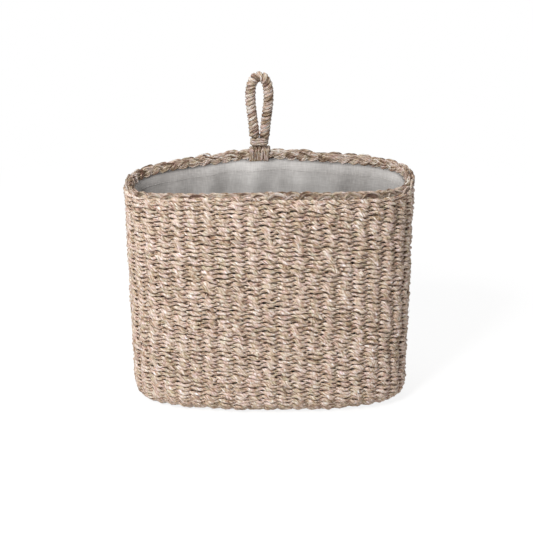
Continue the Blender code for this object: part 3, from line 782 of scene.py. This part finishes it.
def hem_stitches():
    """Short stitches of thread along the lower edge of the hem."""
    count = round(rim_run / STITCH_SPACING)
    strands = []
    for number in range(count):
        share = (number + np.linspace(*STITCH_SPAN, STITCH_RINGS)) / count
        top = liner_top(share)
        run = top - HEM_HEIGHT + STITCH_ABOVE_EDGE
        lift = np.sin(np.linspace(0, math.pi, STITCH_RINGS))
        depth = LINER_DEPTH + liner_folds(share, run / top) + LINEN * 2 - STITCH_SINK + STITCH_BOW * lift
        centres, facing = wall_layer(share, run, depth)
        strands.append(bundle(centres, -facing, THREAD_HALF_WIDTH, THREAD_HALF_THICKNESS, 0.6,
                              sides=6, blades=1, groove=0.0))
    return strands


def thread_material():
    """Grey sewing thread with a slight twist."""
    made, wire = new_material("thread")
    grain = wire.add("ShaderNodeAttribute", {"attribute_name": "grain"}, {}, 1)
    twist = grain.scaled(2500.0, 1.5, 1.5).noise(1.0, 1.0)
    colour = twist.ramp((0.3, tint(176, 173, 169)), (0.7, tint(206, 203, 199)))
    surface(wire, {"Base Color": colour, "Roughness": 0.7})
    return made


side = liner_side()
side.data.materials.append(linen)
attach(side, "basket")
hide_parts("liner_side")
stitches = piece("hem_stitches", hem_stitches(), thread_material(), "basket")

BOTTOM_COLUMNS = 180
BOTTOM_ROWS = 14
BOTTOM_EDGE_INSET = FOOT_RADIUS - 0.0004
BOTTOM_HEIGHT = 0.0107
BOTTOM_LIFT = 0.0003
BOTTOM_CENTRE = 0.02


def liner_bottom():
    """The bottom piece, laid on the base weave and a little uneven."""
    ring = np.linspace(0, 1, BOTTOM_ROWS)[:, None]
    share = (np.arange(BOTTOM_COLUMNS) / BOTTOM_COLUMNS)[None]
    share, ring = np.broadcast_arrays(share, ring)
    edge = wall_place(share, 0.0, BOTTOM_EDGE_INSET)[0]
    x = edge[..., 0] * (BOTTOM_CENTRE + (1 - BOTTOM_CENTRE) * ring)
    y = edge[..., 1] * (BOTTOM_CENTRE + (1 - BOTTOM_CENTRE) * ring)
    lift = BOTTOM_LIFT * np.sin(70 * x + 1.0) * np.sin(90 * y + 0.4) * (1 - ring**4)
    low = np.stack([x, y, BOTTOM_HEIGHT + np.abs(lift)], -1)
    return cloth("liner_bottom_cloth", low, low + UP * LINEN, np.stack([x, y, np.zeros_like(x)], -1), True)


bottom = liner_bottom()
bottom.data.materials.append(linen)
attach(bottom, "basket")
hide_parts("liner_bottom")


# Hanging loop: a twisted cord bent into an eye, its two legs side by side at the foot.
# It stands on the rim at the back and tips to the front or the back there.

LOOP_HALF_WIDTH = 0.0096
LOOP_FOOT_HALF = 0.0055
LOOP_LEG_HEIGHT = 0.0415
LOOP_CROWN_HEIGHT = 0.0230
CROWN_POWER = 2.4
CORE_RADIUS = 0.0028
CORD_TONE = 0.4
CORD_GROOVE = 0.08
CORD_LAY = 0.018
EYE_RINGS = 120
LEG_RINGS = 10
BORDER_DEPTH = 0.0090
BOUND_LEG_OFFSET = 0.0049
BINDING_HEIGHT = 0.0083
FOOT_DROP = 0.0030
FOOT_EXTRA = 0.0012
FOOT_SWING_RADIUS = 0.00558
PIVOT_ABOVE_RIM = 0.0024
EYE_GAP = 0.0003
EYE_LIFT = 0.00215
KNOT_STRANDS = 9
KNOT_RINGS = 15
KNOT_HALF_TURN = 56
KNOT_SINK = 0.0011
KNOT_SPREAD = 0.92
KNOT_HALF_WIDTH = 0.00100
KNOT_HALF_THICKNESS = 0.00105
KNOT_CORE_RINGS = 9
KNOT_CORE_SINK = 0.0024
KNOT_CORE_HALF_WIDTH = 0.0030
KNOT_CORE_HALF_THICKNESS = 0.0012
SIDEWAYS = np.array([0.0, 1.0, 0.0])


def share_at_back(x):
    """The share of the way round at which the back of the rim has a given x."""
    behind = (outline_share > 0.25) & (outline_share < 0.75)
    return np.interp(-np.asarray(x), -outline_x[behind], outline_share[behind])


loop_share = share_at_back(LOOP_OFFSET)
pivot_height = float(rim_height(loop_share)) + PIVOT_ABOVE_RIM + FOOT_SWING_RADIUS
pivot = wall_place(loop_share, pivot_height, BORDER_DEPTH / 2)[0]
eye_foot = pivot + UP * (BINDING_HEIGHT - FOOT_DROP + EYE_GAP + EYE_LIFT)


def eye_line(count, below=0.0):
    """Points of the eye from its left foot over the crown to the right, and outward directions.

    Both feet start a little below the eye where below is given."""
    rise = np.linspace(0, 1, 400)
    spread = (rise + 0.5 - 0.5 * np.cos(math.pi * rise)) / 2
    leg_x = LOOP_FOOT_HALF + (LOOP_HALF_WIDTH - LOOP_FOOT_HALF) * spread
    leg = np.stack([leg_x, LOOP_LEG_HEIGHT * rise], -1)
    angle = np.linspace(0, math.pi / 2, 401)[1:]
    reach = (np.cos(angle) ** CROWN_POWER + np.sin(angle) ** CROWN_POWER) ** (-1 / CROWN_POWER)
    crown_z = LOOP_LEG_HEIGHT + LOOP_CROWN_HEIGHT * reach * np.sin(angle)
    foot = [[LOOP_FOOT_HALF, -below]] if below else np.zeros((0, 2))
    half = np.concatenate([foot, leg, np.stack([LOOP_HALF_WIDTH * reach * np.cos(angle), crown_z], -1)])
    line = np.concatenate([half * (-1, 1), half[-2::-1]])
    run = np.concatenate([[0], np.cumsum(np.hypot(*np.diff(line, axis=0).T))])
    wanted = np.linspace(0, run[-1], count)
    x = np.interp(wanted, run, line[:, 0])
    z = np.interp(wanted, run, line[:, 1])
    points = np.stack([x, np.zeros(count), z], -1)
    slopes = np.gradient(points, axis=0)
    outs = unit(np.stack([-slopes[:, 2], np.zeros(count), slopes[:, 0]], -1))
    return points, outs


def cord(centres, radius):
    """A stretch of the loop's round cord."""
    facing = np.repeat(SIDEWAYS[None], len(centres), 0)
    return bundle(centres, facing, radius, radius, CORD_TONE, groove=CORD_GROOVE, lay=CORD_LAY)


def loop_cord():
    """The cord from one foot to the other, with a straight leg under each foot of the eye."""
    points, _ = eye_line(EYE_RINGS)
    low = pivot[2] - FOOT_DROP - FOOT_EXTRA
    left = np.array([[pivot[0] - BOUND_LEG_OFFSET, pivot[1], height]
                     for height in np.linspace(low, low + BINDING_HEIGHT, LEG_RINGS)])
    right = left[::-1] * (-1, 1, 1) + np.array([2 * pivot[0], 0, 0])
    return cord(np.concatenate([left, eye_foot + points, right]), CORE_RADIUS)


def foot_knot():
    """The rounded end on which the loop turns: the cord's strands packed side by side."""
    strands = []
    half = BOUND_LEG_OFFSET + CORE_RADIUS
    turn = np.radians(np.linspace(-KNOT_HALF_TURN, KNOT_HALF_TURN, KNOT_RINGS))
    reach = FOOT_SWING_RADIUS - KNOT_SINK
    for number in range(KNOT_STRANDS):
        x = pivot[0] + half * (number / ((KNOT_STRANDS - 1) / 2) - 1) * KNOT_SPREAD
        centres = np.stack([np.full(KNOT_RINGS, x), pivot[1] + reach * np.sin(turn),
                            pivot[2] - reach * np.cos(turn)], -1)
        facing = unit(centres - np.array([x, pivot[1], pivot[2]]))
        tone = 0.3 + 0.05 * number
        strands.append(bundle(centres, facing, KNOT_HALF_WIDTH, KNOT_HALF_THICKNESS, tone, sides=10))
    core = np.linspace(pivot - np.array([half, 0, 0]), pivot + np.array([half, 0, 0]), KNOT_CORE_RINGS)
    core[:, 2] = pivot[2] - KNOT_CORE_SINK
    facing = np.repeat(-UP[None], KNOT_CORE_RINGS, 0)
    strands.append(bundle(core, facing, KNOT_CORE_HALF_WIDTH, KNOT_CORE_HALF_THICKNESS, 0.3))
    return strands


# The cord is darker than the twine as painted shade: it shows in the gaps between the wrapping's turns.
cord_straw = seagrass("cord_straw", 0.5)
made = piece("loop_cord", [loop_cord(), *foot_knot()], cord_straw, "loop")
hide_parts("loop_core")


# Wrapping: a flat seagrass twine wound right-handed round the cord, 33 turns side by side.
# It runs from one foot of the eye over the crown to the other, and hides the cord.

WRAP_TURNS = 33
WRAP_RINGS = 26
WRAP_RADIUS = 0.0041
WRAP_SLANT = 0.0012
WRAP_REACH = 0.0022
WRAP_WIDTH = 0.0050
WRAP_GAP = 0.0004
WRAP_HALF_THICKNESS = 0.0014


def loop_wrap():
    """The twine as one strand, as wide as the turns leave room for."""
    count = WRAP_TURNS * WRAP_RINGS + 1
    line, outs = eye_line(count, WRAP_REACH)
    steps = np.arange(count)
    angle = steps / WRAP_RINGS * 2 * math.pi + math.pi / 2
    draw = np.random.default_rng(81)
    knots = np.arange(WRAP_TURNS * 2 + 3) * WRAP_RINGS / 2
    uneven = np.clip(draw.normal(0, 1, (3, len(knots))), -1.7, 1.7)
    slant = WRAP_SLANT * (1 + 0.18 * np.interp(steps, knots, uneven[0]))
    along = steps - slant / np.linalg.norm(line[1] - line[0]) * np.cos(angle)
    middle = np.stack([np.interp(along, steps, line[:, axis]) for axis in range(3)], -1)
    away = np.stack([np.interp(along, steps, outs[:, axis]) for axis in range(3)], -1)
    out = unit(away) * np.cos(angle)[:, None] - SIDEWAYS * np.sin(angle)[:, None]
    stand = 1 + 0.045 * np.interp(steps, knots, uneven[1])
    centres = eye_foot + middle + out * (WRAP_RADIUS * stand)[:, None]
    apart = np.linalg.norm(centres[WRAP_RINGS:] - centres[:-WRAP_RINGS], axis=1)
    gap_before = np.concatenate([np.full(WRAP_RINGS, np.inf), apart])
    gap_after = np.concatenate([apart, np.full(WRAP_RINGS, np.inf)])
    half_width = np.minimum(WRAP_WIDTH, np.minimum(gap_before, gap_after) - WRAP_GAP) / 2
    tone = 0.48 + 0.26 * np.interp(steps, knots, uneven[2])
    return bundle(centres, out, half_width, WRAP_HALF_THICKNESS, tone,
                  sides=20, blades=5, groove=0.15, lay=0.06)


twine = seagrass("twine", 0.80, 1.6)
made = piece("loop_wrapping", [loop_wrap()], twine, "loop")
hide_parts("loop_wrap")


# Binding: three tight turns of the same twine round both legs, right above the foot.
# They draw the legs together and cover the ends of the wrapping.

BINDING_TURNS = 3
BINDING_RINGS = 40
BINDING_RADIUS = 0.00395
BINDING_PITCH = 0.0024
BINDING_RISE = 0.0004
BINDING_START = 0.39
BINDING_HALF_WIDTH = 0.00130
BINDING_HALF_THICKNESS = 0.0010
BINDING_WAVER = 0.0003


def loop_binding():
    """Turns round an oblong: half a circle at each leg, and straight between the legs."""
    half = BOUND_LEG_OFFSET
    radius = BINDING_RADIUS
    turn = np.linspace(0, 2 * math.pi * BINDING_TURNS, BINDING_TURNS * BINDING_RINGS + 1)
    straight = 2 * half / (math.pi * radius + 2 * half)
    places = []
    facing = []
    for index, value in enumerate((turn % (2 * math.pi) / (2 * math.pi) + BINDING_START) % 1.0):
        around = value * 2 % 1.0
        sign = 1 if value < 0.5 else -1
        if around < 1 - straight:
            angle = (around / (1 - straight) - 0.5) * math.pi
            out = np.array([sign * math.cos(angle), sign * math.sin(angle), 0.0])
            offset = np.array([sign * half, 0.0, 0.0]) + out * radius
        else:
            along = (around - (1 - straight)) / straight
            out = np.array([0.0, sign, 0.0])
            offset = np.array([sign * half * (1 - 2 * along), sign * radius, 0.0])
        rise = BINDING_PITCH * (index / BINDING_RINGS) + BINDING_RISE - FOOT_DROP
        rise = rise + BINDING_WAVER * math.sin(index * 0.21)
        places.append(pivot + offset * (1 + 0.02 * math.sin(index * 0.13)) + UP * rise)
        facing.append(out)
    return bundle(np.array(places), np.array(facing), BINDING_HALF_WIDTH, BINDING_HALF_THICKNESS, 0.66,
                  groove=0.16)


made = piece("loop_tie", [loop_binding()], twine, "loop")
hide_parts("loop_binding")


# Roots: the cord's two ends, with a tail of the twine between them. They run down under the
# lashing.

ROOT_RADIUS = 0.0027
ROOT_BOTTOM = -0.0105
ROOT_TOP = 0.0012
ROOT_RINGS = 23
BEND_START = -0.0046
BEND_END = 0.0010


def loop_roots():
    """Three upright stretches side by side, from the lashing up into the binding."""
    strands = []
    height = np.linspace(ROOT_BOTTOM, ROOT_TOP, ROOT_RINGS)[:, None]
    for sign in (-1, 0, 1):
        centres = pivot + np.array([sign * BOUND_LEG_OFFSET, 0.0, 0.0]) + UP * height
        strands.append(cord(centres, ROOT_RADIUS))
    return strands


made = piece("loop_roots", loop_roots(), cord_straw, None)
pivot + UP * BEND_START
pivot + UP * BEND_END
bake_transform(made)


# Lashing: seven turns of twine over the border at the back and through the wall below it,
# which fix the foot of the loop to the rim.

LASH_TURNS = 7
LASH_PITCH = 0.0031
LASH_OFFSET = 0.0008
LASH_DROP = 0.0006
LASH_HALF_WIDTH = 0.00150
LASH_HALF_THICKNESS = 0.0011
LASH_WAVER = 0.0006
LASH_SMALL_WAVER = 0.0004


def lashing():
    """One strand round and round a box of the border's height and depth, with rounded corners."""
    low = BORDER_HEIGHT - LASH_DROP
    corners = ((BORDER_DEPTH, low, 0.0), (BORDER_DEPTH, LASH_DROP, 90.0), (0.0, LASH_DROP, 180.0),
               (0.0, low, 270.0))
    one_round = [(BORDER_DEPTH / 2, low + LASH_OFFSET, -90.0)]
    for inset, drop, turned in corners:
        for step in (-90.0, -45.0, 0.0):
            angle = math.radians(turned + step)
            one_round.append((inset + LASH_OFFSET * math.cos(angle), drop - LASH_OFFSET * math.sin(angle),
                              turned + step))
    one_round = np.array(one_round)
    per_turn = len(one_round)
    steps = np.arange(LASH_TURNS * per_turn + 1)
    rounds = one_round[steps % per_turn].copy()
    rounds[:, 2] += 360.0 * (steps // per_turn)
    path = smooth_path(np.concatenate([rounds, steps[:, None]], 1), len(steps) * 4)
    first = LOOP_OFFSET - LASH_TURNS * LASH_PITCH / 2
    rounds_on = path[:, 3] / per_turn
    waver = LASH_WAVER * np.sin(rounds_on * 2.9) + LASH_SMALL_WAVER * np.sin(rounds_on * 7.3 + 1.0)
    share = share_at_back(first + LASH_PITCH * rounds_on + waver)
    centres, outward = wall_place(share, rim_height(share) - path[:, 1], path[:, 0])
    angle = np.radians(path[:, 2])
    facing = UP * np.sin(angle)[:, None] - outward * np.cos(angle)[:, None]
    draw = np.random.default_rng(91)
    tone = draw.normal(0.53, 0.18, LASH_TURNS + 2)[rounds_on.astype(int)]
    half_width = LASH_HALF_WIDTH * (1 + 0.12 * np.sin(rounds_on * 4.1))
    return bundle(centres, facing, half_width, LASH_HALF_THICKNESS, tone, groove=0.16, lay=0.05)


made = piece("rim_lashing_turns", [lashing()], twine, "basket")
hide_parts("rim_lashing")


# Loose fibres: hair-thin ends that stand a little off the wall, as on all dry seagrass.
# Each has split off a blade and curls away from its strand.

LOOSE_FIBRES = 320
LOOSE_RINGS = 7
LOOSE_INSET = 0.0004
LOOSE_LOWEST = 0.002
LOOSE_HIGHEST = 0.247


def loose_fibres():
    """Fibres of random length, lean and curl, at random places on the wall."""
    draw = np.random.default_rng(101)
    travel = np.linspace(0, 1, LOOSE_RINGS)
    strands = []
    for _ in range(LOOSE_FIBRES):
        length = draw.uniform(0.005, 0.020)
        lean = draw.normal(0.0, 0.5)
        curl = draw.normal(0.0, 1.2)
        share = draw.random()
        run = draw.uniform(0.02, 0.245)
        heading = lean + curl * travel
        x = np.cumsum(np.cos(heading)) * length / LOOSE_RINGS
        z = np.cumsum(np.sin(heading)) * length / LOOSE_RINGS
        stand = draw.uniform(0.0004, 0.0022) * np.sin(travel * math.pi * draw.uniform(0.5, 1.0))
        up_wall = np.clip(run + z, LOOSE_LOWEST, LOOSE_HIGHEST)
        centres, facing = wall_layer(share + x / rim_run, up_wall, LOOSE_INSET - stand)
        half = draw.uniform(0.00010, 0.00018)
        tone = draw.uniform(0.4, 0.9)
        strands.append(bundle(centres, facing, half, half, tone, sides=4, blades=1, groove=0.0))
    return strands


piece("loose_fibres", loose_fibres(), straw, "basket")


# Floor: a plain pale surface under the basket, with its soft shadow.
# The camera sees it nearly white near the basket and fully white farther out.

FLOOR_HALF = 6.0
FLOOR_COLOUR = tint(226, 226, 226)
SHADOW_COLOUR = (0.2, 0.2, 0.2, 1.0)
NEAR_GLOW = 0.86
WHITE_START = 0.30
WHITE_END = 0.75


def floor_material():
    """White but for the shadow to the camera, and plain and pale to all other light."""
    made, wire = new_material("floor")
    seen = wire.add("ShaderNodeLightPath", {}, {}, 0)
    plain = wire.add("ShaderNodeBsdfDiffuse", {}, {"Color": FLOOR_COLOUR})
    soft = wire.add("ShaderNodeBsdfDiffuse", {}, {"Color": SHADOW_COLOUR})
    glow = wire.add("ShaderNodeEmission", {}, {"Strength": NEAR_GLOW})
    near = wire.add("ShaderNodeAddShader", {}, {0: soft, 1: glow})
    white = wire.add("ShaderNodeEmission", {}, {"Strength": 1.0})
    place = wire.add("ShaderNodeTexCoord", {}, {}, 3)
    away = wire.add("ShaderNodeVectorMath", {"operation": "LENGTH"}, {0: place}, 1)
    reach = {"Value": away, "From Min": WHITE_START, "From Max": WHITE_END}
    fade = wire.add("ShaderNodeMapRange", {}, reach)
    pale = wire.add("ShaderNodeMixShader", {}, {0: fade, 1: near, 2: white})
    both = wire.add("ShaderNodeMixShader", {}, {0: seen, 1: plain, 2: pale})
    wire.add("ShaderNodeOutputMaterial", {}, {"Surface": both})
    return made


corners = [(x * FLOOR_HALF, y * FLOOR_HALF, 0.0) for x, y in ((-1, -1), (1, -1), (1, 1), (-1, 1))]
floor_mesh = bpy.data.meshes.new("floor")
floor_mesh.from_pydata(corners, [], [(0, 1, 2, 3)])
floor_mesh.materials.append(floor_material())
floor = bpy.data.objects.new("floor", floor_mesh)
bpy.context.scene.collection.objects.link(floor)


# Light: a soft square lamp from the upper left front, and a wider, weaker one from above.
# A pale room all round fills the shadows, and the camera sees it white.

ROOM_LIGHT = 0.30


def lamp(name, place, target, size, power):
    """A square lamp at its place, turned to its target."""
    data = bpy.data.lights.new(name, "AREA")
    data.shape = "SQUARE"
    data.size = size
    data.energy = power
    made = bpy.data.objects.new(name, data)
    made.location = place
    direction = np.array(target) - np.array(place)
    pitch = math.atan2(math.hypot(direction[0], direction[1]), -direction[2])
    made.rotation_euler = (pitch, 0.0, math.atan2(-direction[0], direction[1]))
    bpy.context.scene.collection.objects.link(made)


lamp("key", place=(-0.9, -1.37, 1.7), target=(0.0, 0.0, 0.15), size=0.5, power=36.8)
lamp("top", place=(-0.1, 0.2, 1.9), target=(0.0, 0.0, 0.2), size=1.0, power=10.0)

world = bpy.data.worlds.new("room")
world.use_nodes = True
world.node_tree.nodes.clear()
room = Wire(world.node_tree)
seen = room.add("ShaderNodeLightPath", {}, {}, 0)
strength = ROOM_LIGHT + seen * (1 - ROOM_LIGHT)
background = room.add("ShaderNodeBackground", {}, {"Color": (1.0, 1.0, 1.0, 1.0), "Strength": strength})
room.add("ShaderNodeOutputWorld", {}, {"Surface": background})
bpy.context.scene.world = world


# Camera: straight in front, 1.8 m away and 25 degrees above the horizon, as in the photograph.
# Its lens and target put the basket at the photograph's size and place.

CAMERA_TARGET = np.array([-0.0040, -0.0071, 0.1520])
CAMERA_DISTANCE = 1.835
CAMERA_ELEVATION = math.radians(24.94)
camera_data = bpy.data.cameras.new("camera")
camera_data.sensor_width = 36.0
camera_data.lens = 117.37
camera = bpy.data.objects.new("camera", camera_data)
back = np.array([0.0, -math.cos(CAMERA_ELEVATION), math.sin(CAMERA_ELEVATION)])
camera.location = CAMERA_TARGET + back * CAMERA_DISTANCE
camera.rotation_euler = (math.pi / 2 - CAMERA_ELEVATION, 0.0, 0.0)
bpy.context.scene.collection.objects.link(camera)
bpy.context.scene.camera = camera
bpy.context.scene.view_settings.view_transform = "Standard"
